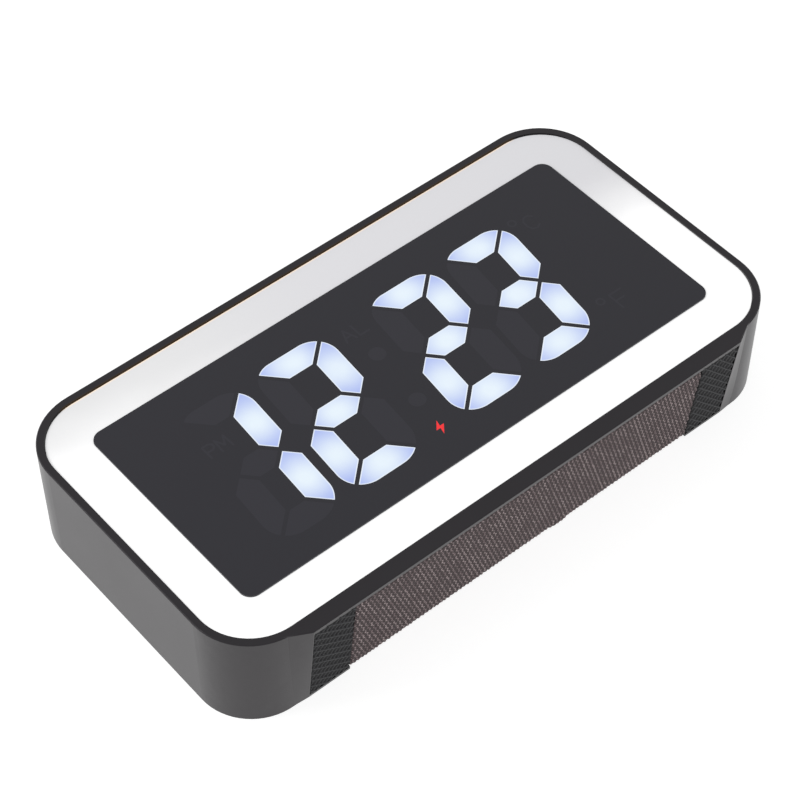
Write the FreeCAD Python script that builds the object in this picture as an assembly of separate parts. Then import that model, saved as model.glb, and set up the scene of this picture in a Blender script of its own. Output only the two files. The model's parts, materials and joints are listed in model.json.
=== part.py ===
"""Clock radio: a slim case with an LED display inside a white light ring, on a knurled, fabric-backed foot.

It lies on its back. +Z leaves the display, +X runs to the display's right, and -Y points at the foot that
it stands on in use. Millimetres. The origin is on the back plane, under the middle of the case.
"""

import FreeCAD, Part
import math
import os

V = FreeCAD.Vector

# ---- case ----
CASE_W = 180.2
CASE_D = 31.5
CASE_TOP = 48.87  # y of the case's top side
BOX_CENTRE = 0.576  # y of the box's middle, which every finished piece is moved down by
FOOT_FRONT = -47.75  # y of the foot's edge at the front
FOOT_BACK = -43.9  # y of the foot's edge at the back: the foot is a wedge, so the clock leans back
BODY_FRONT = -45.0  # y of the case's lower side at the front
BODY_BACK = -43.6
CORNER_R = 17.4
LOW_BACK_R = 15.9  # radius of the two lower corners at the back
WALL = 2.1
EDGE = 0.25  # chamfer round the front edge

# ---- foot ----
FOOT_ROOT_X = 75.2  # where the foot's slanted end leaves the corner
FOOT_TIP_X = 69.9
FOOT_FILLET = 3.0
LIP = 1.5  # front plate over the fabric and the pads
BACK_LIP = 0.9
STRIP_X = 57.0  # half the width of the fabric strip in the foot
PAD_X0 = 57.2
PAD_X1 = 69.4
PAD_T = 2.0
PAD_PROUD = 0.15
FABRIC_SUNK = 0.1

# ---- display ----
FACE_CY = 1.87  # y of the display's middle
WINDOW = (152.0, 65.1)
WINDOW_R = 3.3
RING_BAND = 12.0
RING_R = 15.4
RING_Z = (29.2, 31.0)
WINDOW_Z = (30.05, 31.4)
RING_STEP_Z = 30.0  # top of the ring's inner step, which carries the window
RING_STEP = 2.0
INLAY_T = 0.4
DIGIT_X = (-48.5, -23.43, 12.9, 37.66)
DIGIT_Y = (-1.17, -0.8, -0.5, -0.3)
DIGIT_W = (20.55, 23.47, 22.85, 22.32)  # the digits get a little smaller to the right
DIGIT_H = (47.57, 47.0, 46.13, 45.52)
DIGIT_LEAN = (0.07, 0.08, 0.106, 0.132)
STROKE = 7.25
SEG_GAP = 1.14
DIGIT_R = 7.8
DIGIT_TOP_LEFT_R = 6.2
LIT = ("bc", "abged", "abged", "abgcd")
UNLIT = ("aged", "fc", "fc", "fe")  # the first digit has no upper left segment
DOTS = ((-3.6, 7.5), (-5.7, -10.8))
DOT_R = 2.3
MARK_STROKE = 0.55
LETTERS = {  # strokes on a grid one unit high
    "P": [[(0, 0), (0, 1), (0.45, 1), (0.65, 0.86), (0.65, 0.62), (0.45, 0.48), (0, 0.48)]],
    "M": [[(0, 0), (0.06, 1), (0.4, 0.3), (0.74, 1), (0.8, 0)]],
    "A": [[(0, 0), (0.38, 1), (0.76, 0)], [(0.14, 0.36), (0.62, 0.36)]],
    "L": [[(0, 1), (0, 0), (0.7, 0)]],
    "C": [[(0.68, 0.8), (0.5, 0.97), (0.25, 0.97), (0.05, 0.75), (0, 0.4), (0.12, 0.1), (0.38, 0), (0.62, 0.14)]],
    "F": [[(0, 0), (0, 1), (0.72, 1)], [(0, 0.52), (0.52, 0.52)]],
}
MARKS = (("P", -56.5, 7.5, 4.1), ("M", -53.1, 7.5, 4.1), ("A", -7.1, 15.3, 4.1), ("L", -2.8, 15.3, 4.1),
         ("C", 55.8, 14.5, 5.2), ("F", 55.2, -21.4, 5.5))
DEGREES = ((53.4, 20.0), (52.0, -16.1))
DEGREE_R = 1.35
BOLT_AT = (-7.15, -21.35)
BOLT_SCALE = 0.9

# ---- layers behind the display, as z ranges ----
REFLECTOR_Z = (22.1, 29.9)
BOARD_Z = (20.5, 22.1)
TRAY_Z = (22.15, 29.1)
CHASSIS_Z = (18.9, 20.4)
LEDGE_Z = (27.2, 29.1)
LEDGE = 1.8
TRAY_INSET = 4.2

# ---- rear cover and fabric ----
FABRIC_Z = 0.6  # the rear fabric lies this far inside the case's back edge
FABRIC_T = 0.6
COVER_T = 2.0
COVER_GAP = 0.15
GRILLE_R = 1.3
GRILLE_PITCH = 4.4
GRILLE_RINGS = 3

# ---- speakers ----
SPEAKER_X = 38.0
SPEAKER_Y = 2.0
FRAME_R = 20.0
CONE_R = 14.6
COIL_R = 5.4
SURROUND_R = 17.0
FLANGE_Z = 4.0

# ---- keys on the top side ----
KEYS = 5
KEY_PITCH = 20.0
KEY_Z = 14.0
KEY_L = 12.0
KEY_H = 6.2
KEY_GAP = 0.25

# ---- main board and its sockets on the right side ----
MAIN_X = (60.5, 87.4)
MAIN_Y = (-29.5, 34.5)
MAIN_Z = (12.0, 13.6)
USB_Y = 20.0
JACK_Y = 7.0
JACK_DROP = 3.0  # the jack's axis below the board
CARD_Y = -6.5
SWITCH_Y = -21.0
SWITCH_TRAVEL = 2.0
SOCKET_X = 89.4  # the sockets' mouths, just inside the case's side

BOSSES = ((80.7, 39.5), (-80.7, 39.5), (81.1, -34.6), (-81.1, -34.6))
BOSS_R = 4.3
POSTS = ((63.8, 31.5), (84.5, 31.5), (63.8, -26.5), (78.0, -26.5))


# ---- outlines ----
def corner_arc(before, corner, after, radius):
    """The arc of this radius that rounds a corner, as start, middle and end."""
    back = (before - corner).normalize()
    ahead = (after - corner).normalize()
    half = back.getAngle(ahead) / 2
    reach = radius / math.tan(half)
    middle = (back + ahead).normalize()
    centre = corner + middle * (radius / math.sin(half))
    return corner + back * reach, centre - middle * radius, corner + ahead * reach


def rounded_edges(points, radii, closed):
    """Lines through the points, with each corner rounded by its own radius."""
    edges = []
    count = len(points)
    last = None
    first = None
    for i, point in enumerate(points):
        if radii[i] and (closed or 0 < i < count - 1):
            start, middle, end = corner_arc(points[i - 1], point, points[(i + 1) % count], radii[i])
        else:
            start, middle, end = point, None, point
        if last is not None:
            edges.append(Part.LineSegment(last, start).toShape())
        if middle is not None:
            edges.append(Part.Arc(start, middle, end).toShape())
        first = start if first is None else first
        last = end
    if closed:
        edges.append(Part.LineSegment(last, first).toShape())
    return edges


def rounded_wire(points, radii, z):
    return Part.Wire(rounded_edges([V(x, y, z) for x, y in points], radii, True))


def case_outline(z, inset=0.0):
    """The case's section at one height, without the foot."""
    t = z / CASE_D
    x = CASE_W / 2 - inset
    low = BODY_BACK + (BODY_FRONT - BODY_BACK) * t + inset
    high = CASE_TOP - inset
    low_r = LOW_BACK_R + (CORNER_R - LOW_BACK_R) * t - inset
    high_r = CORNER_R - inset
    points = [(-x, low), (x, low), (x, high), (-x, high)]
    return rounded_wire(points, [low_r, low_r, high_r, high_r], z)


def foot_y(z):
    """The sloping plane that the clock stands on."""
    return FOOT_BACK + (FOOT_FRONT - FOOT_BACK) * z / CASE_D


def foot_outline(z, inset=0.0):
    """The foot's section at one height, reaching into the case."""
    body = BODY_BACK + (BODY_FRONT - BODY_BACK) * z / CASE_D
    tip = FOOT_TIP_X - inset
    left = [(-80.0, body + 1.9), (-FOOT_ROOT_X + inset, body + 0.15), (-tip, foot_y(z) + inset)]
    right = [(-x, y) for x, y in reversed(left)]
    points = left + right + [(80.0, body + 6.0), (-80.0, body + 6.0)]
    return rounded_wire(points, [0, FOOT_FILLET, 0, 0, FOOT_FILLET, 0, 0, 0], z)


# ---- solids ----
def loft(outline, z0, z1, inset0=0.0, inset1=None):
    inset1 = inset0 if inset1 is None else inset1
    return Part.makeLoft([outline(z0, inset0), outline(z1, inset1)], True, True)


def fuse(shapes):
    return shapes[0].fuse(shapes[1:]).removeSplitter()


def group(shapes):
    return Part.makeCompound(shapes)


def box(x0, x1, y0, y1, z0, z1):
    return Part.makeBox(x1 - x0, y1 - y0, z1 - z0, V(x0, y0, z0))


def block(cx, cy, wide, tall, z0, z1):
    return box(cx - wide / 2, cx + wide / 2, cy - tall / 2, cy + tall / 2, z0, z1)


def rod(x, y, r, z0, z1):
    return Part.makeCylinder(r, z1 - z0, V(x, y, z0))


def tube_z(x, y, r_out, r_in, z0, z1):
    return rod(x, y, r_out, z0, z1).cut(rod(x, y, r_in, z0 - 1, z1 + 1))


def plate(wide, tall, r, z0, z1, cx=0.0, cy=FACE_CY):
    """A plate with rounded corners."""
    x, y = wide / 2, tall / 2
    points = [(cx - x, cy - y), (cx + x, cy - y), (cx + x, cy + y), (cx - x, cy + y)]
    return Part.Face(rounded_wire(points, [r] * 4, z0)).extrude(V(0, 0, z1 - z0))


def pill_y(cx, cz, wide, tall, y0, y1):
    """A rounded bar along Y."""
    shape = plate(wide, tall, tall / 2 - 0.01, y0, y1, 0, 0)
    shape.rotate(V(0, 0, 0), V(1, 0, 0), -90)
    shape.translate(V(cx, 0, cz))
    return shape


def pill_x(cy, cz, wide, tall, x0, x1):
    """A rounded bar along X."""
    shape = plate(tall, wide, tall / 2 - 0.01, x0, x1, 0, 0)
    shape.rotate(V(0, 0, 0), V(0, 1, 0), 90)
    shape.translate(V(0, cy, cz))
    return shape


def prism_x(points, x0, x1):
    """A profile of (y, z) points drawn out along X."""
    corners = [V(x0, y, z) for y, z in points]
    wire = Part.makePolygon(corners + corners[:1])
    return Part.Face(wire).extrude(V(x1 - x0, 0, 0))


def foot_slab(x0, x1, z0, z1, sunk0, sunk1):
    """A slab that follows the foot's slope, between two depths below it."""
    points = [(foot_y(z0) + sunk0, z0), (foot_y(z1) + sunk0, z1)]
    points += [(foot_y(z1) + sunk1, z1), (foot_y(z0) + sunk1, z0)]
    return prism_x(points, x0, x1)


def turned(profile, cx, cy):
    """A profile of (radius, z) points turned about the upright axis at cx, cy."""
    corners = [V(r, 0, z) for r, z in profile]
    wire = Part.makePolygon(corners + corners[:1])
    shape = Part.Face(wire).revolve(V(0, 0, 0), V(0, 0, 1), 360)
    shape.translate(V(cx, cy, 0))
    return shape


def path(points):
    """Straight runs joined by arcs as large as the runs allow."""
    points = [V(*p) for p in points]
    radii = [0.0]
    for before, point, after in zip(points, points[1:], points[2:]):
        run = min((point - before).Length, (after - point).Length)
        turn = math.pi - (before - point).getAngle(after - point)
        radii.append(0.45 * run / math.tan(turn / 2))
    return Part.Wire(rounded_edges(points, radii + [0.0], False)), points[1] - points[0]


def wire_tube(points, r):
    spine, ahead = path(points)
    circle = Part.Wire(Part.makeCircle(r, V(*points[0]), ahead))
    return spine.makePipeShell([circle], True, False)


def wire_pair(points, r, apart):
    """Two insulated wires, one above the other."""
    return group([wire_tube([(x, y, z + s * apart) for x, y, z in points], r) for s in (-0.5, 0.5)])


# ---- display ----
def segment_points(name, w, h):
    """One segment's corners in an upright digit of half sizes w and h."""
    c = SEG_GAP * math.sqrt(0.5)
    t = STROKE
    if name == "g":
        tip = w - t / 2 - c
        flat = tip - t / 2
        return [(-tip, 0), (-flat, -t / 2), (flat, -t / 2), (tip, 0), (flat, t / 2), (-flat, t / 2)]
    if name in "ad":
        points = [(-w + c, h), (w - c, h), (w - t - c, h - t), (-w + t + c, h - t)]
    else:
        points = [(w, h - c), (w, t / 2 + c), (w - t / 2, c), (w - t, t / 2 + c), (w - t, h - t - c)]
    across = -1 if name in "ef" else 1
    up = -1 if name in "cde" else 1
    return [(x * across, y * up) for x, y in points]


def segment(digit, name, z0, z1):
    """One segment of one digit, leaning with the digit."""
    w = DIGIT_W[digit] / 2
    h = DIGIT_H[digit] / 2
    corners = [V(x, y, z0) for x, y in segment_points(name, w, h)]
    shape = Part.Face(Part.makePolygon(corners + corners[:1])).extrude(V(0, 0, z1 - z0))
    bounds = [(-w, -h), (w, -h), (w, h), (-w, h)]
    radii = [DIGIT_R, DIGIT_R, DIGIT_R, DIGIT_TOP_LEFT_R]
    shape = shape.common(Part.Face(rounded_wire(bounds, radii, z0)).extrude(V(0, 0, z1 - z0)))
    lean = FreeCAD.Matrix()
    lean.A12 = DIGIT_LEAN[digit]
    shape = shape.transformGeometry(lean).Solids[0]
    shape.translate(V(DIGIT_X[digit], DIGIT_Y[digit] + FACE_CY, 0))
    return shape


def segments(table, z0, z1):
    return [segment(i, name, z0, z1) for i, names in enumerate(table) for name in names]


def dots(z0, z1):
    return [rod(x, y + FACE_CY, DOT_R, z0, z1) for x, y in DOTS]


def stroke(points, z0, z1):
    """A line of even width with round ends and joints."""
    r = MARK_STROKE / 2
    pieces = [rod(x, y, r, z0, z1) for x, y in points]
    for (xa, ya), (xb, yb) in zip(points, points[1:]):
        run = math.hypot(xb - xa, yb - ya)
        bar = box(0, run, -r, r, z0, z1)
        bar.rotate(V(0, 0, 0), V(0, 0, 1), math.degrees(math.atan2(yb - ya, xb - xa)))
        bar.translate(V(xa, ya, 0))
        pieces.append(bar)
    return fuse(pieces)


def letter(name, x, y, size, z0, z1):
    lines = [[(x + u * size, y + v * size + FACE_CY) for u, v in line] for line in LETTERS[name]]
    shapes = [stroke(line, z0, z1) for line in lines]
    return shapes[0] if len(shapes) == 1 else fuse(shapes)


def marks(z0, z1):
    """The display's small unlit signs: PM, AL, and degrees in C and F."""
    signs = [letter(*mark, z0, z1) for mark in MARKS]
    rings = [tube_z(x, y + FACE_CY, DEGREE_R, DEGREE_R - MARK_STROKE, z0, z1) for x, y in DEGREES]
    return signs + rings


def bolt(z0, z1):
    """The charging sign."""
    shape = [(0.7, 2.5), (-1.6, -0.3), (-0.2, -0.3), (-0.7, -2.5), (1.6, 0.4), (0.2, 0.4)]
    at = V(BOLT_AT[0], BOLT_AT[1] + FACE_CY, z0)
    corners = [at + V(x * BOLT_SCALE, y * BOLT_SCALE, 0) for x, y in shape]
    return Part.Face(Part.makePolygon(corners + corners[:1])).extrude(V(0, 0, z1 - z0))


def everything_shown(z0, z1):
    return segments(LIT, z0, z1) + segments(UNLIT, z0, z1) + dots(z0, z1) + marks(z0, z1) + [bolt(z0, z1)]


def display_window():
    pane = plate(*WINDOW, WINDOW_R, *WINDOW_Z)
    return pane.cut(everything_shown(WINDOW_Z[1] - INLAY_T, WINDOW_Z[1] + 1))


def light_ring():
    wide, tall = (size + 2 * RING_BAND for size in WINDOW)
    ring = plate(wide, tall, RING_R, *RING_Z)
    seat = plate(WINDOW[0] + 0.1, WINDOW[1] + 0.1, WINDOW_R, RING_STEP_Z, RING_Z[1] + 1)
    hole = plate(WINDOW[0] - 2 * RING_STEP, WINDOW[1] - 2 * RING_STEP, 2.0, RING_Z[0] - 1, RING_Z[1])
    return ring.cut([seat, hole])


def reflector_block():
    body = plate(WINDOW[0] - 5.0, WINDOW[1] - 5.0, 1.5, *REFLECTOR_Z)
    return body.cut(everything_shown(REFLECTOR_Z[0] - 1, REFLECTOR_Z[1] + 1))


def segment_leds():
    leds = []
    for well in segments(LIT, 0, 1) + segments(UNLIT, 0, 1) + dots(0, 1):
        middle = well.CenterOfMass
        leds.append(block(middle.x, middle.y, 1.4, 0.8, BOARD_Z[1], BOARD_Z[1] + 0.6))
    leds.append(block(BOLT_AT[0], BOLT_AT[1] + FACE_CY, 0.6, 0.5, BOARD_Z[1], BOARD_Z[1] + 0.4))
    return group(leds)


def display_board():
    return plate(WINDOW[0] - 4.6, WINDOW[1] - 4.6, 1.5, *BOARD_Z)


def display_chips():
    """Driver chips behind the display board, in the chassis's window."""
    z0, z1 = BOARD_Z[0] - 1.2, BOARD_Z[0]
    return group([block(-10.0, 20.0, 10.0, 6.0, z0, z1), block(8.0, 20.0, 7.0, 5.0, z0, z1)])


# ---- ring light ----
def ring_spots():
    """Where the ring's LEDs stand, round the middle of its band."""
    x = (WINDOW[0] + RING_BAND) / 2 - 0.8
    y = (WINDOW[1] + RING_BAND) / 2 - 0.8
    spots = [(x * (i / 4), s * y, False) for i in range(-4, 5) for s in (-1, 1)]
    spots += [(s * x, y * (i / 2), True) for i in (-1, 0, 1) for s in (-1, 1)]
    return [(px, py + FACE_CY, upright) for px, py, upright in spots]


def ring_leds():
    sizes = {False: (3.5, 2.8), True: (2.8, 3.5)}
    top = BOARD_Z[1] + 1.0
    return group([block(x, y, *sizes[upright], BOARD_Z[1], top) for x, y, upright in ring_spots()])


def ring_light_tray():
    """A white channel that carries the LEDs' light up to the ring."""
    outer = loft(case_outline, *TRAY_Z, TRAY_INSET)
    hollow = loft(case_outline, TRAY_Z[0] + 1.0, TRAY_Z[1] + 1.0, TRAY_INSET + 1.2)
    inner = plate(WINDOW[0] - 1.6, WINDOW[1] - 1.6, 2.5, *TRAY_Z)
    eye = plate(WINDOW[0] - 4.0, WINDOW[1] - 4.0, 2.0, TRAY_Z[0] - 1, TRAY_Z[1] + 1)
    tray = outer.cut(hollow).fuse(inner).cut(eye)
    windows = [block(x, y, 4.2, 4.2, TRAY_Z[0] - 1, TRAY_Z[0] + 2) for x, y, _ in ring_spots()]
    return tray.cut(windows).removeSplitter()


def ring_led_board():
    outer = loft(case_outline, *BOARD_Z, TRAY_INSET)
    return outer.cut(plate(WINDOW[0] - 3.6, WINDOW[1] - 3.6, 2.0, BOARD_Z[0] - 1, BOARD_Z[1] + 1))


# ---- case ----
def case_blank():
    """The outside of the case with its foot, as one solid block."""
    front = CASE_D - EDGE
    shapes = []
    for outline in (case_outline, foot_outline):
        shapes.append(loft(outline, 0.0, front))
        shapes.append(loft(outline, front, CASE_D, 0.0, EDGE))
    return fuse(shapes)


def key_x(i):
    return (i - (KEYS - 1) / 2) * KEY_PITCH


def side_openings():
    """Openings for the keys on the top side, and for the sockets and the switch on the right side."""
    z = MAIN_Z[0]
    top = [pill_y(key_x(i), KEY_Z, KEY_L + 2 * KEY_GAP, KEY_H + 2 * KEY_GAP, 44, 50) for i in range(KEYS)]
    jack = Part.makeCylinder(3.15, 6, V(86, JACK_Y, z - JACK_DROP), V(1, 0, 0))
    usb = pill_x(USB_Y, z - 1.6, 9.6, 3.9, 86, 92)
    card = pill_x(CARD_Y, z - 0.85, 13.2, 2.2, 86, 92)
    switch = pill_x(SWITCH_Y + SWITCH_TRAVEL / 2, z - 1.7, 6.4, 2.4, 86, 92)
    thumb = pill_x(SWITCH_Y + SWITCH_TRAVEL / 2, z - 1.7, 9.6, 4.4, CASE_W / 2 - 0.7, 92)
    return top + [jack, usb, card, switch, thumb]


def key_bracket(side):
    """A slotted rib that holds one end of the key board."""
    rib = box(51.0, 54.5, 39.6, CASE_TOP - WALL + 0.3, 9.0, 18.7)
    slot = box(50.0, 53.1, 40.5, 42.3, 9.5, 20.0)
    rib = rib.cut(slot)
    return rib if side > 0 else rib.mirror(V(0, 0, 0), V(1, 0, 0))


def housing_shell():
    hollow = loft(case_outline, -1.0, CASE_D + 1.0, WALL)
    shell = case_blank().cut(hollow)
    ledge = loft(case_outline, *LEDGE_Z, WALL - 0.3).cut(loft(case_outline, 20.0, CASE_D, WALL + LEDGE))
    strip = [box(-STRIP_X, STRIP_X, -60, -43.8, -1, CASE_D - LIP)]
    strip.append(box(-STRIP_X, STRIP_X, -60, -41.0, -1, LEDGE_Z[0] - 1.0))
    pads = [foot_slab(s * STRIP_X, s * (PAD_X1 + 0.3), BACK_LIP, CASE_D - LIP, -3, PAD_T) for s in (-1, 1)]
    bosses = [rod(x, y, BOSS_R, FABRIC_Z + FABRIC_T + COVER_T + 0.1, CHASSIS_Z[0] - 0.1) for x, y in BOSSES]
    pilots = [rod(x, y, 1.2, 0, 16.0) for x, y in BOSSES]
    shell = shell.fuse([ledge] + bosses + [key_bracket(-1), key_bracket(1)])
    shell = shell.common(case_blank())
    return shell.cut(strip + pads + pilots + side_openings()).removeSplitter()


def grille_holes(cx, cy):
    """Round holes on a honeycomb grid in front of one speaker."""
    holes = []
    for row in range(-GRILLE_RINGS, GRILLE_RINGS + 1):
        count = 2 * GRILLE_RINGS + 1 - abs(row)
        y = cy + row * GRILLE_PITCH * math.sqrt(0.75)
        for i in range(count):
            holes.append(rod(cx + (i - (count - 1) / 2) * GRILLE_PITCH, y, GRILLE_R, 0, 6))
    return holes


def rear_cover():
    """The back plate with its two grilles, and the leg that fills the foot."""
    z0 = FABRIC_Z + FABRIC_T
    z1 = z0 + COVER_T
    outer = FABRIC_SUNK + FABRIC_T
    back = loft(case_outline, z0, z1, WALL + COVER_GAP)
    leg = foot_slab(-STRIP_X + 0.4, STRIP_X - 0.4, z0, CASE_D - LIP - 0.3, outer, outer + COVER_T)
    heel = [(-38.0, z0), (foot_y(z0) + outer, z0), (foot_y(z1) + outer, z1), (-38.0, z1)]
    body = fuse([back, leg, prism_x(heel, -STRIP_X + 0.4, STRIP_X - 0.4)])
    holes = grille_holes(-SPEAKER_X, SPEAKER_Y) + grille_holes(SPEAKER_X, SPEAKER_Y)
    holes += [rod(x, y, 1.4, 0, 6) for x, y in BOSSES]
    holes += [rod(x, y, 2.7, 0, z0 + 1.1) for x, y in BOSSES]
    return body.cut(holes)


def rear_fabric():
    """The cloth over the rear cover, wrapped over its leg."""
    z0, z1 = FABRIC_Z, FABRIC_Z + FABRIC_T
    x = STRIP_X - 0.2
    back = loft(case_outline, z0, z1, WALL + COVER_GAP)
    strip = foot_slab(-x, x, z0, CASE_D - LIP - 0.2, FABRIC_SUNK, FABRIC_SUNK + FABRIC_T)
    heel = [(-38.0, z0), (foot_y(z0) + FABRIC_SUNK, z0), (foot_y(z1) + FABRIC_SUNK, z1), (-38.0, z1)]
    return fuse([back, strip, prism_x(heel, -x, x)])


def fabric_tuck():
    """A small fold of the cloth at the heel of the strip."""
    y0 = foot_y(0) + FABRIC_SUNK
    return plate(10.5, 1.6, 0.7, 0.0, FABRIC_Z, 11.7, y0 + 0.9)


def foot_pad(side):
    pad = foot_slab(PAD_X0, PAD_X1, BACK_LIP + 0.1, CASE_D - LIP - 0.15, -PAD_PROUD, PAD_T - 0.05)
    return pad if side > 0 else pad.mirror(V(0, 0, 0), V(1, 0, 0))


def chassis():
    """The plate between the display and the sound side, with posts for the main board."""
    body = loft(case_outline, *CHASSIS_Z, WALL + 0.3)
    windows = [box(-16, 14, 15, 25, 18, 21), box(57.0, 62.0, -7, 7, 18, 21)]
    posts = [rod(x, y, 2.0, MAIN_Z[1], CHASSIS_Z[0] + 0.2) for x, y in POSTS]
    pilots = [rod(x, y, 0.95, MAIN_Z[1] - 1, CHASSIS_Z[0]) for x, y in POSTS]
    return fuse([body.cut(windows)] + posts).cut(pilots)


# ---- speakers ----
def speaker_frame(cx):
    z = FLANGE_Z
    r = SURROUND_R
    profile = [(r, z), (FRAME_R, z), (FRAME_R, z + 1.0), (r + 1.0, z + 1.0), (r + 1.0, z + 4.0)]
    profile += [(11.5, z + 8.5), (11.5, z + 9.5), (7.0, z + 9.5), (7.0, z + 8.7), (10.8, z + 8.7)]
    profile += [(r + 0.1, z + 3.6), (r, z + 3.6)]
    basket = turned(profile, cx, SPEAKER_Y)
    vents = []
    for i in range(4):
        vent = box(-3.6, 3.6, 11.8, 21, z + 2.4, z + 7.6)
        vent.rotate(V(0, 0, 0), V(0, 0, 1), 45 + 90 * i)
        vent.translate(V(cx, SPEAKER_Y, 0))
        vents.append(vent)
    return basket.cut(vents)


def speaker_magnet(cx):
    z = FLANGE_Z + 9.5
    ring = tube_z(cx, SPEAKER_Y, 11.0, 6.3, z, z + 3.6)
    plates = rod(cx, SPEAKER_Y, 11.4, z + 3.6, z + 4.8)
    pole = rod(cx, SPEAKER_Y, 4.6, z - 1.2, z + 3.7)
    return fuse([ring, plates, pole])


def speaker_cone(cx):
    """Cone, dust cap and coil former in one moving piece."""
    z = FLANGE_Z + 1.2
    cone = turned([(CONE_R, z), (CONE_R, z + 0.4), (COIL_R, z + 4.4), (COIL_R, z + 4.0)], cx, SPEAKER_Y)
    former = tube_z(cx, SPEAKER_Y, COIL_R, COIL_R - 0.35, z + 2.6, z + 9.8)
    cap = [(0, z + 1.8), (2.4, z + 2.05), (4.2, z + 2.7), (COIL_R, z + 3.5), (COIL_R, z + 3.9)]
    cap += [(4.0, z + 3.1), (2.3, z + 2.5), (0, z + 2.3)]
    return fuse([cone, former, turned(cap, cx, SPEAKER_Y)])


def speaker_surround(cx):
    """The half roll of rubber between the cone and the frame."""
    middle = (CONE_R + SURROUND_R) / 2
    roll = (SURROUND_R - CONE_R) / 2
    z = FLANGE_Z + 1.2
    steps = 8
    turns = [math.pi * i / steps for i in range(steps + 1)]
    outer = [(middle + roll * math.cos(a), z + roll * math.sin(a)) for a in turns]
    inner = [(middle + (roll - 0.35) * math.cos(a), z + (roll - 0.35) * math.sin(a)) for a in reversed(turns)]
    return turned(outer + inner, cx, SPEAKER_Y)


def speaker_gasket(cx):
    return tube_z(cx, SPEAKER_Y, FRAME_R, SURROUND_R + 0.5, FABRIC_Z + FABRIC_T + COVER_T, FLANGE_Z)


# ---- keys ----
def key_cap(i):
    """One key: a cap that fills its opening, a flange that keeps it in, and a stem over its switch."""
    inside = CASE_TOP - WALL
    face = CASE_TOP - 0.15
    cap = pill_y(0, 0, KEY_L, KEY_H, inside - 0.9, face)
    rim = [e for e in cap.Edges if all(abs(v.Y - face) < 1e-6 for v in e.Vertexes)]
    cap = cap.makeFillet(0.35, rim)
    flange = pill_y(0, 0, KEY_L + 2.4, KEY_H + 2.0, inside - 0.9, inside - 0.2)
    stem = Part.makeCylinder(1.5, 1.2, V(0, inside - 1.95, 0), V(0, 1, 0))
    key = fuse([cap, flange, stem])
    key.translate(V(key_x(i), 0, KEY_Z))
    return key


def key_board():
    return box(-53.0, 53.0, 40.6, 42.2, 9.6, 18.4)


def key_switches():
    switches = []
    for i in range(KEYS):
        body = box(key_x(i) - 3.0, key_x(i) + 3.0, 42.2, 43.7, KEY_Z - 3.0, KEY_Z + 3.0)
        plunger = Part.makeCylinder(1.6, 0.7, V(key_x(i), 43.6, KEY_Z), V(0, 1, 0))
        switches.append(body.fuse(plunger))
    return group(switches)


# ---- main board ----
def main_board():
    board = box(*MAIN_X, *MAIN_Y, *MAIN_Z)
    return board.cut([rod(x, y, 1.3, 10, 15) for x, y in POSTS])


def usb_port():
    z = MAIN_Z[0] - 1.6
    shell = pill_x(USB_Y, z, 8.9, 3.2, 80.4, SOCKET_X)
    shell = shell.cut(pill_x(USB_Y, z, 8.3, 2.6, 82.0, SOCKET_X + 1))
    return shell.fuse(box(81.5, 88.0, USB_Y - 3.3, USB_Y + 3.3, z - 0.35, z + 0.35))


def audio_jack():
    z = MAIN_Z[0] - JACK_DROP
    body = box(75.0, 87.0, JACK_Y - 3.1, JACK_Y + 3.1, z - JACK_DROP, z + JACK_DROP)
    nose = Part.makeCylinder(2.9, SOCKET_X - 86.5, V(86.5, JACK_Y, z), V(1, 0, 0))
    bore = Part.makeCylinder(1.8, SOCKET_X - 76.0, V(76.5, JACK_Y, z), V(1, 0, 0))
    return fuse([body, nose]).cut(bore)


def card_slot():
    top = MAIN_Z[0]
    can = box(74.0, 88.6, CARD_Y - 7.0, CARD_Y + 7.0, top - 1.7, top)
    can = can.common(box(74.0, 87.9, -99, 99, 0, 20).fuse(box(87, 89, CARD_Y - 5.9, CARD_Y + 5.9, 0, 20)))
    return can.cut(box(75.0, 90.0, CARD_Y - 5.6, CARD_Y + 5.6, top - 1.35, top - 0.35))


def power_switch():
    z = MAIN_Z[0]
    middle = SWITCH_Y + SWITCH_TRAVEL / 2
    body = box(81.0, 86.4, middle - 4.5, middle + 4.5, z - 3.4, z)
    return body.cut(box(85.4, 87.0, middle - 2.6, middle + 2.6, z - 2.9, z - 0.5))


def power_switch_knob():
    z = MAIN_Z[0] - 1.7
    knob = box(85.6, CASE_W / 2 - 0.1, SWITCH_Y - 1.2, SWITCH_Y + 1.2, z - 1.0, z + 1.0)
    grooves = [box(89.7, 91, SWITCH_Y + y - 0.15, SWITCH_Y + y + 0.15, 0, 20) for y in (-0.6, 0, 0.6)]
    return knob.cut(grooves)


def main_chips():
    """Processor, amplifier and clock chips."""
    z = MAIN_Z[0]
    return group([block(69.5, 2.0, 8.0, 8.0, z - 1.2, z), block(66.0, -9.0, 5.0, 6.0, z - 1.0, z),
                  block(80.0, 29.0, 4.0, 3.0, z - 1.0, z)])


def capacitors():
    return group([rod(70.5, y, 3.2, MAIN_Z[0] - 7.0, MAIN_Z[0]) for y in (-25.0, -17.0)])


def tuner_crystal():
    return plate(3.2, 9.0, 1.55, MAIN_Z[0] - 3.2, MAIN_Z[0], 63.5, 10.0 - 3.0)


def radio_module():
    return plate(12.5, 11.0, 0.6, MAIN_Z[0] - 2.0, MAIN_Z[0], 73.0, 20.0)


def wire_plugs():
    z0, z1 = MAIN_Z[0] - 5.0, MAIN_Z[0]
    return group([box(61.0, 65.4, y, y + 5.0, z0, z1) for y in (22.0, 14.0, -19.0)])


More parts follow.
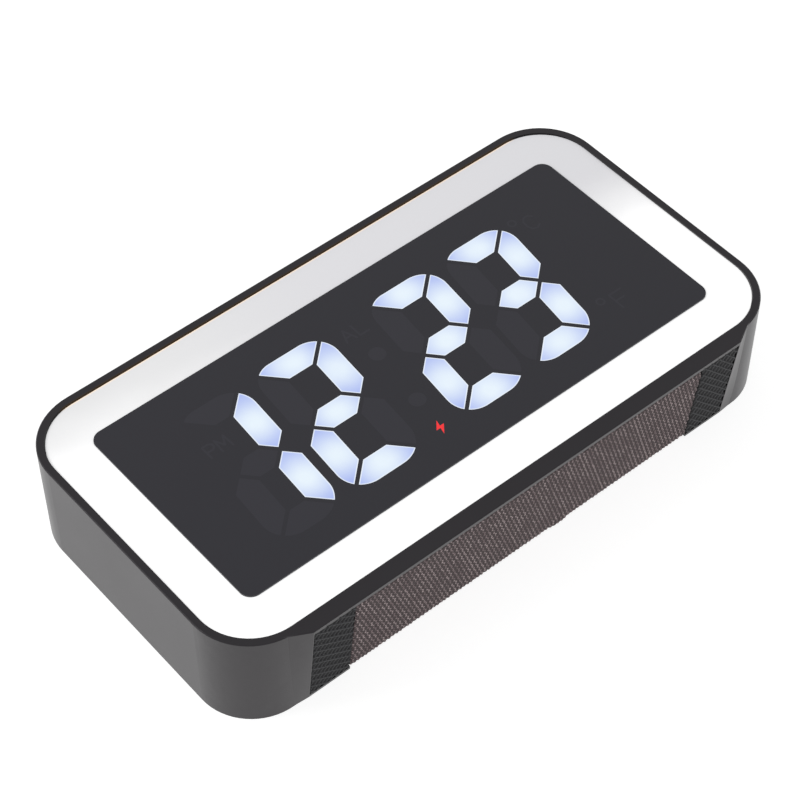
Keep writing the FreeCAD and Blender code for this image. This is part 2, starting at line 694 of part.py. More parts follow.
def display_ribbon():
    """The flat cable from the display board to the main board."""
    spine, ahead = path([(63.5, 0, 14.3), (59.5, 0, 14.3), (59.5, 0, BOARD_Z[0])])
    half_w, half_t = 5.0, 0.15
    corners = [(-half_w, -half_t), (half_w, -half_t), (half_w, half_t), (-half_w, half_t)]
    section = [V(63.5, y, 14.3 + z) for y, z in corners]
    strip = spine.makePipeShell([Part.makePolygon(section + section[:1])], True, False)
    socket = box(63.5, 67.0, -5.6, 5.6, MAIN_Z[1], MAIN_Z[1] + 1.4)
    return strip.fuse(socket)


# ---- battery and wires ----
def battery():
    """A flat lithium cell in its foil pouch, with its protection board under the tape at one end."""
    pouch = plate(33.0, 46.0, 2.0, 9.0, 18.3, 0, 0)
    long_edges = [e for e in pouch.Edges if abs(e.BoundBox.ZLength) < 1e-6 and e.Length > 20]
    pouch = pouch.makeFillet(1.4, long_edges)
    head = box(-15.5, 15.5, 22.5, 26.0, 11.0, 16.5)
    return fuse([pouch, head])


def battery_tape():
    return group([block(x, 0, 8.0, 38.0, 18.3, CHASSIS_Z[0]) for x in (-9.0, 9.0)])


def battery_wires():
    route = [(6, 26, 14), (6, 31, 14), (20, 35, 12), (38, 33, 12), (50, 32, 11), (55, 24.5, 9.5)]
    route += [(61, 24.5, 9.5)]
    return wire_pair(route, 0.6, 1.4)


def speaker_wires_right():
    return wire_pair([(51, -8, 10.2), (52.5, -11.5, 9.6), (56, -15.2, 9.2), (61, -15.2, 9.2)], 0.5, 1.2)


def speaker_wires_left():
    route = [(-24, -10, 10.2), (-21, -18, 9.5), (-14, -28, 9), (4, -32, 8.5), (24, -30, 8.5)]
    route += [(44, -31, 8.5), (54, -27, 8.5), (57, -18.0, 9.2), (61, -18.0, 9.2)]
    return wire_pair(route, 0.5, 1.2)


def antenna_wire():
    route = [(73, 26.2, 11), (71, 33, 15.5), (62, 37, 16.8), (44, 38, 16.8), (20, 37.2, 16.8), (-6, 38, 16.8)]
    route += [(-30, 37.4, 16.8), (-54, 37.8, 16.8), (-70, 31, 16.8), (-74, 16, 16.8)]
    return wire_tube(route, 0.6)


def key_wires():
    route = [(49.5, 40.6, 13), (49.5, 36.5, 13), (58.3, 31, 13.5), (58.3, 20, 13.5)]
    route += [(58.3, 16.5, 9.5), (61, 16.5, 9.5)]
    return wire_pair(route, 0.5, 1.2)


# ---- fasteners ----
def case_screws():
    top = FABRIC_Z + FABRIC_T
    screws = []
    for x, y in BOSSES:
        head = rod(x, y, 2.4, top + 0.15, top + 1.1)
        cross = [block(x, y, 2.4, 0.5, 0, top + 0.6), block(x, y, 0.5, 2.4, 0, top + 0.6)]
        screws.append(head.fuse(rod(x, y, 1.15, top + 1.0, 13.0)).cut(cross))
    return group(screws)


def board_screws():
    return group([rod(x, y, 1.9, 10.9, MAIN_Z[0]).fuse(rod(x, y, 0.9, 11.5, 17.5)) for x, y in POSTS])


def all_parts():
    parts = {
        "housing_shell": housing_shell(),
        "light_ring": light_ring(),
        "display_window": display_window(),
        "lit_segments": group(segments(LIT, WINDOW_Z[1] - INLAY_T, WINDOW_Z[1])),
        "unlit_segments": group(segments(UNLIT, WINDOW_Z[1] - INLAY_T, WINDOW_Z[1])),
        "colon_dots": group(dots(WINDOW_Z[1] - INLAY_T, WINDOW_Z[1])),
        "indicator_marks": group(marks(WINDOW_Z[1] - INLAY_T, WINDOW_Z[1])),
        "charge_sign": bolt(WINDOW_Z[1] - INLAY_T, WINDOW_Z[1]),
        "reflector_block": reflector_block(),
        "segment_leds": segment_leds(),
        "display_board": display_board(),
        "display_chips": display_chips(),
        "ring_light_tray": ring_light_tray(),
        "ring_leds": ring_leds(),
        "ring_led_board": ring_led_board(),
        "chassis": chassis(),
        "rear_cover": rear_cover(),
        "rear_fabric": rear_fabric().fuse(fabric_tuck()).removeSplitter(),
        "foot_pad_left": foot_pad(-1),
        "foot_pad_right": foot_pad(1),
        "main_board": main_board(),
        "main_chips": main_chips(),
        "radio_module": radio_module(),
        "tuner_crystal": tuner_crystal(),
        "capacitors": capacitors(),
        "wire_plugs": wire_plugs(),
        "usb_port": usb_port(),
        "audio_jack": audio_jack(),
        "card_slot": card_slot(),
        "power_switch": power_switch(),
        "power_switch_knob": power_switch_knob(),
        "display_ribbon": display_ribbon(),
        "key_board": key_board(),
        "key_switches": key_switches(),
        "key_wires": key_wires(),
        "battery": battery(),
        "battery_tape": battery_tape(),
        "battery_wires": battery_wires(),
        "speaker_wires_left": speaker_wires_left(),
        "speaker_wires_right": speaker_wires_right(),
        "antenna_wire": antenna_wire(),
        "case_screws": case_screws(),
        "board_screws": board_screws(),
    }
    for side, x in (("left", -SPEAKER_X), ("right", SPEAKER_X)):
        parts["speaker_frame_" + side] = speaker_frame(x)
        parts["speaker_magnet_" + side] = speaker_magnet(x)
        parts["speaker_cone_" + side] = speaker_cone(x)
        parts["speaker_surround_" + side] = speaker_surround(x)
        parts["speaker_gasket_" + side] = speaker_gasket(x)
    for i in range(KEYS):
        parts["key_" + str(i + 1)] = key_cap(i)
    return parts


os.makedirs("parts", exist_ok=True)
for node, shape in all_parts().items():
    state = "valid" if shape.isValid() else "NOT VALID"
    print(node, "solids", len(shape.Solids), "mm3", round(shape.Volume, 1), state)
    shape.translate(V(0, -BOX_CENTRE, 0))
    shape.exportStep("parts/" + node + ".step")
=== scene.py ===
"""Looks of the clock radio: camera, light, materials, and the woven, knurled and lit pieces."""
import json
import math
import random

import bmesh
import bpy
import numpy as np
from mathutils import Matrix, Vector


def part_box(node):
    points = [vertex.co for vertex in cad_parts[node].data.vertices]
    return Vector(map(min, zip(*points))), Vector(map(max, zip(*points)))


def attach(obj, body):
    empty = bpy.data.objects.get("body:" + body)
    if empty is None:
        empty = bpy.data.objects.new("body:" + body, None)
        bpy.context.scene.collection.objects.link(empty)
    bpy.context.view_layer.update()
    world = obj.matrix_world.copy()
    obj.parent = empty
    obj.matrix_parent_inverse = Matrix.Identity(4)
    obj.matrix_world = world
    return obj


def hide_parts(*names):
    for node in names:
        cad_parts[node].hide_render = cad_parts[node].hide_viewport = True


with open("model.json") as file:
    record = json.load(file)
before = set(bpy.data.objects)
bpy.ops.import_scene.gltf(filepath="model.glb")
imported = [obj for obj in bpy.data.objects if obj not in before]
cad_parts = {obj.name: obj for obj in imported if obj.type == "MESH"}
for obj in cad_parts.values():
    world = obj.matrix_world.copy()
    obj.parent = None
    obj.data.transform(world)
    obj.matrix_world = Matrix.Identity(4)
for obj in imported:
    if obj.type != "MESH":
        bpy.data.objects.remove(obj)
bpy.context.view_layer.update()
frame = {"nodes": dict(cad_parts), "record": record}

MM = 0.001
NODES = frame["nodes"]

# ---- places read from the frame ----
RING_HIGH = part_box("light_ring")[1]
CLOTH_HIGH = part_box("rear_fabric")[1]
COVER_LOW, COVER_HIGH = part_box("rear_cover")
FOOT_MOUNT = next(m for m in frame["record"]["mounts"] if m["name"] == "foot_rest")
FOOT_POINT = Vector(FOOT_MOUNT["pos_m"])
FOOT_NORMAL = Vector(FOOT_MOUNT["axis"])

# ---- camera: where it stands, what it looks at, and its lens ----
CAMERA_AT = (-0.26162, -0.315056, 0.49875)
CAMERA_AIM = (-0.00920, -0.006886, 0.0315)
CAMERA_ROLL = math.radians(-0.8)
LENS = 110.12
SENSOR = 36.0

# ---- knurled pads ----
KNURL_Z = 2.77 * MM  # from one long ridge to the next, up the pad
KNURL_SLOPE = {"left": 0.75, "right": 1.12}
CROSS_X = {"left": 2.0 * MM, "right": 2.6 * MM}  # from one short ridge to the next, along the pad
CROSS_SLOPE = 1.25
CROSS_LOW = 0.35  # how much lower the short ridges are, as a share of the pits' depth
KNURL_DEEP = 0.5 * MM
PAD_THICK = 1.6 * MM
PAD_STEP = 0.13 * MM
LONG_RIDGE = (0.05, 0.13)  # half a ridge's flat top, and the fall beside it, as shares of the pitch
SHORT_RIDGE = (0.08, 0.22)

# ---- speaker cloth ----
THREAD = 1.22 * MM  # from one thread to the next
THREAD_HIGH = 0.26 * MM
THREAD_HALF = 0.31  # half a thread's width, and how far it sways, as shares of the pitch
THREAD_SWAY = 0.15
FLOAT = 3.0 * MM  # length of one stitch on the face
STITCH_SHIFT = 0.37  # from one thread's stitches to the next thread's, as a share of a stitch
LEAN = math.tan(math.radians(21))
CLOTH_STEP = 0.20 * MM
CLOTH_X = 56.8 * MM
SUNK = 0.32 * MM  # from the pads' faces in to the cloth
HEEL_R = 1.3 * MM
TURN_IN = 0.9 * MM  # width of the rolled edges
ROLL_DEEP = 0.45 * MM
SIDE_WIDE, SIDE_DEEP = 0.5 * MM, 0.30 * MM
CORNER_R, CORNER_WIDE, CORNER_DEEP = 2.6 * MM, 0.5 * MM, 1.6 * MM
SWELL, SWELL_LONG = 0.10 * MM, 17 * MM  # the cloth's slow rise and fall along the foot
TUCK_X = 11.7 * MM
TUCK_WIDE, TUCK_TALL = 2.6 * MM, 1.9 * MM
TUCK_OUT, TUCK_DOWN = 0.15 * MM, 0.5 * MM
CLEAR = 0.03 * MM  # least height over the back plane
BACK_STEP = 0.40 * MM
CLOTH_BACK_Z = 0.62 * MM
BACK_CORNER_R = 14.5 * MM
BACK_ROLL = 0.9 * MM
SEAM_Y = -41.9 * MM  # where the foot's strip and the rear panel meet

# ---- lit segments and key signs ----
WELD = 0.001 * MM
GLOW_EDGE, GLOW_FADE = 0.22 * MM, 0.10 * MM
SIGN_DEEP, SIGN_HIGH = 0.02 * MM, 0.10 * MM


def foot_y(z):
    """The foot's resting plane, through the pads' faces."""
    return FOOT_POINT.y - (z - FOOT_POINT.z) * FOOT_NORMAL.z / FOOT_NORMAL.y


# ---- node building ----
def add(nt, kind, out=0, props=None, **inputs):
    """Adds one shader node and returns an output. A number as an input's name is its index, as in i1."""
    n = nt.nodes.new("ShaderNode" + kind)
    for key, value in (props or {}).items():
        setattr(n, key, value)
    for key, value in inputs.items():
        socket = n.inputs[int(key[1:])] if key[1:].isdigit() else n.inputs[key.replace("_", " ")]
        if isinstance(value, bpy.types.NodeSocket):
            nt.links.new(value, socket)
        else:
            socket.default_value = value
    return n.outputs[out]


def calc(nt, operation, a, b=0.0, clamp=False):
    return add(nt, "Math", props={"operation": operation, "use_clamp": clamp}, i0=a, i1=b)


def here(nt):
    """The point being shaded, in the clock's own frame, in metres."""
    return add(nt, "TexCoord", out=3)


def axis_of(nt, axis):
    return add(nt, "SeparateXYZ", out="XYZ".index(axis), i0=here(nt))


def grain(nt, size, detail=2.0, rough=0.5):
    """Noise with blobs of about this size in metres, from 0 to 1."""
    return add(nt, "TexNoise", Vector=here(nt), Scale=1 / size, Detail=detail, Roughness=rough)


def step(nt, value, low, high):
    """0 below low, 1 above high, and smooth between them."""
    props = {"interpolation_type": "SMOOTHSTEP"}
    return add(nt, "MapRange", props=props, i0=value, i1=low, i2=high, i3=0.0, i4=1.0)


def scaled(nt, value, low, high):
    return add(nt, "MapRange", i0=value, i1=0.0, i2=1.0, i3=low, i4=high)


def blend_colours(nt, share, a, b, how="MIX"):
    props = {"data_type": "RGBA", "blend_type": how}
    return add(nt, "Mix", out=2, props=props, i0=share, i6=a, i7=b)


def rgb(r, g, b):
    return (r, g, b, 1.0)


def bumped(nt, height, distance, strength):
    return add(nt, "Bump", Height=height, Distance=distance, Strength=strength)


def material(name, paint, **fixed):
    """A Principled material. paint(nt) returns the sockets that nodes drive; fixed holds plain values."""
    m = bpy.data.materials.new(name)
    m.use_nodes = True
    nt = m.node_tree
    shader = nt.nodes["Principled BSDF"]
    for key, value in fixed.items():
        shader.inputs[key.replace("_", " ")].default_value = value
    for key, value in paint(nt).items():
        nt.links.new(value, shader.inputs[key.replace("_", " ")])
    return m


# ---- materials ----
def case_plastic():
    """Satin charcoal moulding with a fine spark-eroded grain; its walls carry painted shade, darker than its
    faces that look up, and its lowest edge a painted contact shadow.
    """
    def paint(nt):
        fine = grain(nt, 0.22 * MM, 3.0)
        cloud = grain(nt, 25 * MM, 2.0)
        colour = blend_colours(nt, cloud, rgb(0.0112, 0.0096, 0.0120), rgb(0.0154, 0.0134, 0.0166))
        # Painted shade: faces that look sideways or down are painted darker than those that look up.
        facing_up = add(nt, "SeparateXYZ", out=2, i0=add(nt, "NewGeometry", out=1))
        colour = blend_colours(nt, step(nt, facing_up, 0.2, 0.8), rgb(0.0050, 0.0036, 0.0050), colour)
        # Painted contact shadow: the case is painted near black within 0.6 mm of its back plane, where it
        # meets the floor.
        low_edge = step(nt, axis_of(nt, "Z"), 0.0, 0.6 * MM)
        colour = blend_colours(nt, low_edge, rgb(0.004, 0.003, 0.003), colour)
        mottle = calc(nt, "ADD", calc(nt, "MULTIPLY", fine, 0.4), calc(nt, "MULTIPLY", cloud, 0.6))
        return {"Base_Color": colour, "Roughness": scaled(nt, mottle, 0.27, 0.38),
                "Normal": bumped(nt, fine, 0.012 * MM, 0.5)}
    return material("case_plastic", paint, IOR=1.52, Specular_Tint=rgb(1.0, 0.965, 1.0))


def ring_diffuser():
    """Milky acrylic lit from behind. Its top band and its right side are painted greyer in colour and weaker
    in glow: painted shade.
    """
    def paint(nt):
        x, y = axis_of(nt, "X"), axis_of(nt, "Y")
        cloud = grain(nt, 16 * MM, 2.5, 0.55)
        drift = calc(nt, "MULTIPLY", cloud, 9 * MM)
        height = calc(nt, "ADD", y, drift)
        leaning = calc(nt, "ADD", height, calc(nt, "MULTIPLY", x, 0.15))
        # Painted shade: the top band is painted greyer in base colour and weaker in glow.
        shaded_band = step(nt, leaning, 12 * MM, 40 * MM)
        # Painted shade: the ring's colour is painted greyer towards its right.
        shaded_right = step(nt, x, -55 * MM, 5 * MM)
        grey = blend_colours(nt, shaded_right, rgb(0.815, 0.815, 0.825), rgb(0.755, 0.75, 0.785))
        colour = blend_colours(nt, shaded_band, rgb(0.93, 0.93, 0.93), grey)
        glow = blend_colours(nt, shaded_band, rgb(0.45, 0.45, 0.45), rgb(0.19, 0.19, 0.19))
        warm = step(nt, y, RING_HIGH.y - 0.55 * MM, RING_HIGH.y - 0.1 * MM)
        glow = blend_colours(nt, calc(nt, "MULTIPLY", warm, 0.9), glow, rgb(0.55, 0.36, 0.17))
        fine = grain(nt, 0.3 * MM, 2.0)
        return {"Base_Color": colour, "Emission_Color": glow, "Roughness": scaled(nt, fine, 0.42, 0.52),
                "Normal": bumped(nt, fine, 0.01 * MM, 0.3)}
    return material("ring_diffuser", paint, Emission_Strength=1.0, IOR=1.49)


def smoked(name, dark, light, rough):
    """Smoked acrylic, as the window and the unlit segments under its face."""
    def paint(nt):
        fine = grain(nt, 0.12 * MM, 2.0)
        cloud = grain(nt, 30 * MM, 2.0)
        mottle = calc(nt, "ADD", calc(nt, "MULTIPLY", fine, 0.5), calc(nt, "MULTIPLY", cloud, 0.5))
        return {"Base_Color": blend_colours(nt, cloud, rgb(*dark), rgb(*light)),
                "Roughness": scaled(nt, mottle, rough - 0.03, rough + 0.05),
                "Normal": bumped(nt, fine, 0.004 * MM, 0.4)}
    return material(name, paint, IOR=1.49)


def lit_face():
    """Lit segments: brightest over their LED, bluer away from it, with a fine bright edge."""
    def paint(nt):
        centre = add(nt, "Attribute", out=1, props={"attribute_name": "led_at"})
        edge = add(nt, "Attribute", out=2, props={"attribute_name": "edge"})
        reach = add(nt, "VectorMath", out=1, props={"operation": "DISTANCE"}, i0=here(nt), i1=centre)
        cloud = scaled(nt, grain(nt, 7 * MM, 2.0), -0.12, 0.12)
        away = calc(nt, "ADD", step(nt, reach, 0.5 * MM, 10.8 * MM), cloud, True)
        colour = blend_colours(nt, away, rgb(0.80, 0.895, 0.98), rgb(0.38, 0.47, 0.88))
        colour = blend_colours(nt, calc(nt, "MULTIPLY", edge, 0.8), colour, rgb(0.88, 0.94, 1.0))
        fine = grain(nt, 0.4 * MM, 2.0)
        base = blend_colours(nt, fine, rgb(0.05, 0.055, 0.06), rgb(0.08, 0.085, 0.09))
        return {"Base_Color": base, "Emission_Color": colour, "Roughness": scaled(nt, fine, 0.32, 0.42)}
    return material("lit_segment", paint, Emission_Strength=0.93)


def charge_red():
    """The lit charging sign, a little uneven."""
    def paint(nt):
        fine = grain(nt, 0.5 * MM, 2.0)
        glow = blend_colours(nt, fine, rgb(0.78, 0.018, 0.025), rgb(0.95, 0.035, 0.04))
        return {"Base_Color": blend_colours(nt, fine, rgb(0.2, 0.004, 0.004), rgb(0.3, 0.01, 0.01)),
                "Emission_Color": glow, "Roughness": scaled(nt, fine, 0.3, 0.4)}
    return material("charge_red", paint, Emission_Strength=0.86)


def pad_rubber():
    """Dull rubber, its ridges mottled grey, with painted shade, near black, in its pits."""
    def paint(nt):
        deep = add(nt, "Attribute", out=2, props={"attribute_name": "pit"})
        fine = grain(nt, 0.12 * MM, 3.0)
        ridge = blend_colours(nt, fine, rgb(0.021, 0.0213, 0.0235), rgb(0.037, 0.0375, 0.042))
        # Painted shade: the deeper a point lies in a pit, the nearer to black it is painted.
        colour = blend_colours(nt, deep, ridge, rgb(0.0045, 0.0045, 0.0055))
        return {"Base_Color": colour, "Roughness": scaled(nt, fine, 0.55, 0.72),
                "Normal": bumped(nt, fine, 0.02 * MM, 0.6)}
    return material("pad_rubber", paint, IOR=1.5)


def speaker_cloth():
    """Woven cloth: threads of dull and pale yarn with fine fibres, painted dark brown where they lie low,
    between threads and at the rolled edges: painted shade.
    """
    def paint(nt):
        tone = add(nt, "Attribute", out=2, props={"attribute_name": "tone"})
        top = add(nt, "Attribute", out=2, props={"attribute_name": "top"})
        fibre = grain(nt, 0.16 * MM, 4.0, 0.65)
        patch = grain(nt, 9 * MM, 3.0)
        low = blend_colours(nt, fibre, rgb(0.032, 0.019, 0.020), rgb(0.058, 0.038, 0.040))
        dull = blend_colours(nt, patch, rgb(0.180, 0.132, 0.135), rgb(0.225, 0.167, 0.170))
        pale = blend_colours(nt, fibre, rgb(0.31, 0.242, 0.244), rgb(0.56, 0.462, 0.460))
        yarn = blend_colours(nt, step(nt, tone, 0.1, 1.0), dull, pale)
        # Painted shade: the lower the weave lies, the nearer to the dark brown it is painted.
        colour = blend_colours(nt, step(nt, top, 0.30, 0.80), low, yarn)
        return {"Base_Color": colour, "Roughness": scaled(nt, fibre, 0.8, 0.95),
                "Normal": bumped(nt, fibre, 0.06 * MM, 0.7)}
    return material("speaker_cloth", paint, Sheen_Weight=0.08, Sheen_Roughness=0.5)


def soft_touch():
    """Dull soft-touch keys."""
    def paint(nt):
        fine = grain(nt, 0.15 * MM, 3.0)
        colour = blend_colours(nt, fine, rgb(0.016, 0.016, 0.017), rgb(0.024, 0.024, 0.025))
        return {"Base_Color": colour, "Roughness": scaled(nt, fine, 0.5, 0.62),
                "Normal": bumped(nt, fine, 0.015 * MM, 0.6)}
    return material("soft_touch", paint)


def moulded(name, dark, light, rough=0.5):
    """Plain moulding with faint flow marks."""
    def paint(nt):
        fine = grain(nt, 0.25 * MM, 3.0)
        flow = grain(nt, 14 * MM, 3.0)
        return {"Base_Color": blend_colours(nt, flow, rgb(*dark), rgb(*light)),
                "Roughness": scaled(nt, fine, rough - 0.05, rough + 0.08),
                "Normal": bumped(nt, fine, 0.015 * MM, 0.5)}
    return material(name, paint)


def circuit_board():
    """Green solder mask with copper tracks showing as paler lines, and bare pads."""
    def paint(nt):
        squared = {"feature": "DISTANCE_TO_EDGE", "distance": "MANHATTAN"}
        cells = add(nt, "TexVoronoi", props=squared, Vector=here(nt), Scale=260.0)
        track = calc(nt, "SUBTRACT", 1.0, step(nt, cells, 0.05, 0.09))
        dots = add(nt, "TexVoronoi", props={"feature": "F1"}, Vector=here(nt), Scale=330.0)
        pad = calc(nt, "SUBTRACT", 1.0, step(nt, dots, 0.13, 0.17))
        mask = blend_colours(nt, grain(nt, 6 * MM), rgb(0.006, 0.055, 0.022), rgb(0.010, 0.075, 0.032))
        colour = blend_colours(nt, track, mask, rgb(0.022, 0.13, 0.05))
        colour = blend_colours(nt, pad, colour, rgb(0.70, 0.62, 0.40))
        return {"Base_Color": colour, "Metallic": calc(nt, "MULTIPLY", pad, 0.9),
                "Roughness": scaled(nt, track, 0.32, 0.42),
                "Normal": bumped(nt, calc(nt, "MAXIMUM", track, pad), 0.03 * MM, 0.6)}
    return material("circuit_board", paint, Coat_Weight=0.2)


def brushed(name, dark, light, rough=0.32, metal=1.0):
    """Sheet metal with fine marks along X."""
    def paint(nt):
        stretched = add(nt, "Mapping", Vector=here(nt), Scale=(120.0, 2600.0, 2600.0))
        marks = add(nt, "TexNoise", Vector=stretched, Scale=1.0, Detail=3.0)
        cloud = grain(nt, 3 * MM, 2.0)
        return {"Base_Color": blend_colours(nt, cloud, rgb(*dark), rgb(*light)),
                "Roughness": scaled(nt, marks, rough - 0.08, rough + 0.12),
                "Normal": bumped(nt, marks, 0.008 * MM, 0.6)}
    return material(name, paint, Metallic=metal)


def led_package():
    """White package with a yellow phosphor window on top."""
    def paint(nt):
        grainy = grain(nt, 0.2 * MM, 2.0)
        up = add(nt, "SeparateXYZ", out=2, i0=add(nt, "NewGeometry", out=1))
        colour = blend_colours(nt, step(nt, up, 0.5, 0.9), rgb(0.85, 0.85, 0.82), rgb(0.92, 0.72, 0.16))
        colour = blend_colours(nt, calc(nt, "MULTIPLY", grainy, 0.3), colour, rgb(0.6, 0.5, 0.3))
        return {"Base_Color": colour, "Roughness": scaled(nt, grainy, 0.3, 0.5)}
    return material("led_package", paint)


def speaker_pulp():
    """Pressed paper with short fibres."""
    def paint(nt):
        fibres = add(nt, "TexVoronoi", props={"feature": "F2"}, Vector=here(nt), Scale=1900.0)
        fine = grain(nt, 0.3 * MM, 4.0, 0.7)
        fleck = calc(nt, "MULTIPLY", fibres, fine)
        return {"Base_Color": blend_colours(nt, fleck, rgb(0.012, 0.012, 0.012), rgb(0.05, 0.048, 0.046)),
                "Roughness": scaled(nt, fine, 0.7, 0.9), "Normal": bumped(nt, fibres, 0.05 * MM, 0.5)}
    return material("speaker_pulp", paint)


def foam():
    """Black closed-cell foam."""
    def paint(nt):
        cells = add(nt, "TexVoronoi", Vector=here(nt), Scale=2600.0)
        colour = blend_colours(nt, cells, rgb(0.012, 0.012, 0.013), rgb(0.045, 0.045, 0.047))
        return {"Base_Color": colour, "Roughness": scaled(nt, cells, 0.8, 1.0),
                "Normal": bumped(nt, cells, 0.12 * MM, 0.8)}
    return material("closed_foam", paint)


def foil_pouch():
    """Creased aluminium laminate."""
    def paint(nt):
        crease = add(nt, "TexNoise", Vector=here(nt), Scale=180.0, Detail=4.0, Distortion=1.2)
        fine = grain(nt, 0.3 * MM, 2.0)
        return {"Base_Color": blend_colours(nt, crease, rgb(0.50, 0.51, 0.53), rgb(0.68, 0.69, 0.71)),
                "Roughness": scaled(nt, fine, 0.28, 0.45), "Normal": bumped(nt, crease, 0.15 * MM, 0.5)}
    return material("foil_pouch", paint, Metallic=0.85)


def insulated_wire():
    """Red insulation, in two close shades, with darker scuffs."""
    def paint(nt):
        fine = grain(nt, 0.3 * MM, 2.0)
        bands = add(nt, "TexNoise", Vector=here(nt), Scale=60.0, Detail=0.0)
        shade = step(nt, bands, 0.49, 0.51)
        colour = blend_colours(nt, shade, rgb(0.35, 0.012, 0.010), rgb(0.30, 0.010, 0.012))
        colour = blend_colours(nt, calc(nt, "MULTIPLY", fine, 0.25), colour, rgb(0.12, 0.004, 0.004))
        return {"Base_Color": colour, "Roughness": scaled(nt, fine, 0.35, 0.5),
                "Normal": bumped(nt, fine, 0.02 * MM, 0.4)}
    return material("insulated_wire", paint)


def flat_cable():
    """Cream film with pale copper conductors side by side."""
    def paint(nt):
        wave = add(nt, "TexWave", out=1, props={"bands_direction": "Y"}, Vector=here(nt), Scale=160.0)
        lines = step(nt, wave, 0.45, 0.6)
        colour = blend_colours(nt, lines, rgb(0.74, 0.70, 0.58), rgb(0.62, 0.40, 0.24))
        return {"Base_Color": colour, "Roughness": scaled(nt, grain(nt, 1 * MM), 0.3, 0.45),
                "Normal": bumped(nt, lines, 0.03 * MM, 0.5)}
    return material("flat_cable", paint)


# ---- camera, light and floor ----
def camera():
    data = bpy.data.cameras.new("camera")
    data.lens = LENS
    data.sensor_width = SENSOR
    data.clip_start = 0.01
    ob = bpy.data.objects.new("camera", data)
    ob.location = CAMERA_AT
    look = (Vector(CAMERA_AIM) - Vector(CAMERA_AT)).to_track_quat("-Z", "Y")
    ob.rotation_euler = look.to_euler()
    ob.rotation_euler.rotate_axis("Z", CAMERA_ROLL)
    bpy.context.scene.collection.objects.link(ob)
    bpy.context.scene.camera = ob


def soft_light(name, at, aim, size, watts):
    data = bpy.data.lights.new(name, "AREA")
    data.shape = "SQUARE"
    data.size = size
    data.energy = watts
    ob = bpy.data.objects.new(name, data)
    ob.location = at
    ob.rotation_euler = (Vector(aim) - Vector(at)).to_track_quat("-Z", "Y").to_euler()
    bpy.context.scene.collection.objects.link(ob)


def studio():
    """A white sweep under soft light, brightest from the left and behind."""
    scene = bpy.context.scene
    scene.view_settings.view_transform = "Standard"
    world = bpy.data.worlds.new("studio")
    world.use_nodes = True
    sky = world.node_tree.nodes["Background"]
    sky.inputs[0].default_value = rgb(1.0, 1.0, 1.0)
    sky.inputs[1].default_value = 0.55
    scene.world = world
    soft_light("key_light", (-0.50, 0.30, 0.45), (-0.15, 0.08, 0.0), 0.35, 1.6)
    mesh = bpy.data.meshes.new("floor")
    grid = bmesh.new()
    bmesh.ops.create_grid(grid, x_segments=8, y_segments=8, size=3.0)
    grid.to_mesh(mesh)
    grid.free()
    floor = bpy.data.objects.new("floor", mesh)
    scene.collection.objects.link(floor)
    mesh.materials.append(floor_white())


def floor_white():
    """Pale paper with a glow of its own, so that it stays white beside the clock."""
    def paint(nt):
        fine = grain(nt, 2 * MM, 2.0)
        return {"Base_Color": blend_colours(nt, fine, rgb(0.38, 0.38, 0.38), rgb(0.42, 0.42, 0.42)),
                "Roughness": scaled(nt, fine, 0.85, 0.95)}
    return material("floor_white", paint, Emission_Color=rgb(1, 1, 1), Emission_Strength=0.83)


# ---- mesh helpers ----
def new_piece(name, verts, faces, body, mat, smooth=True):
    mesh = bpy.data.meshes.new(name)
    mesh.from_pydata([tuple(v) for v in verts], [], faces)
    mesh.update()
    mesh.polygons.foreach_set("use_smooth", [smooth] * len(mesh.polygons))
    mesh.materials.append(mat)
    ob = bpy.data.objects.new(name, mesh)
    bpy.context.scene.collection.objects.link(ob)
    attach(ob, body)
    return ob


def store(mesh, name, values):
    mesh.attributes.new(name, "FLOAT", "POINT").data.foreach_set("value", np.asarray(values, np.float32))


def grid_faces(columns, rows, offset=0):
    """Quads over a grid whose points run along each row first."""
    faces = []
    for j in range(rows - 1):
        for i in range(columns - 1):
            a = offset + j * columns + i
            faces.append((a, a + 1, a + columns + 1, a + columns))
    return faces


# ---- lit segments ----
def lit_segments(mat):
    """The lit inlays, each with a narrow brighter edge and the place of its own LED."""
    bm = bmesh.new()
    bm.from_mesh(NODES["lit_segments"].data)
    bmesh.ops.remove_doubles(bm, verts=bm.verts, dist=WELD)
    bmesh.ops.dissolve_limit(bm, angle_limit=math.radians(2), verts=bm.verts, edges=bm.edges)
    bm.verts.ensure_lookup_table()
    centre = bm.verts.layers.float_vector.new("led_at")
    edge = bm.verts.layers.float.new("edge")
    for island in islands(bm):
        spans = [[v.co[k] for v in island] for k in range(3)]
        middle = Vector([(min(span) + max(span)) / 2 for span in spans])
        for v in island:
            v[centre] = middle
            v[edge] = 1.0
    tops = [f for f in bm.faces if f.normal.z > 0.9]
    bmesh.ops.inset_individual(bm, faces=tops, thickness=GLOW_EDGE, use_even_offset=True)
    inner = {v for f in tops for v in f.verts}
    for f in tops:
        bmesh.ops.inset_individual(bm, faces=[f], thickness=GLOW_FADE, use_even_offset=True)
    core = {v for f in tops for v in f.verts}
    for v in inner | core:
        v[edge] = 0.0 if v in core else 1.0
    mesh = bpy.data.meshes.new("lit_glow")
    bm.to_mesh(mesh)
    bm.free()
    mesh.materials.append(mat)
    ob = bpy.data.objects.new("lit_glow", mesh)
    bpy.context.scene.collection.objects.link(ob)
    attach(ob, "clock")
    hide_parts("lit_segments")


def islands(bm):
    """The groups of joined vertices."""
    left = set(bm.verts)
    groups = []
    while left:
        todo = [left.pop()]
        group = set(todo)
        while todo:
            for e in todo.pop().link_edges:
                for v in e.verts:
                    if v not in group:
                        group.add(v)
                        left.discard(v)
                        todo.append(v)
        groups.append(group)
    return groups


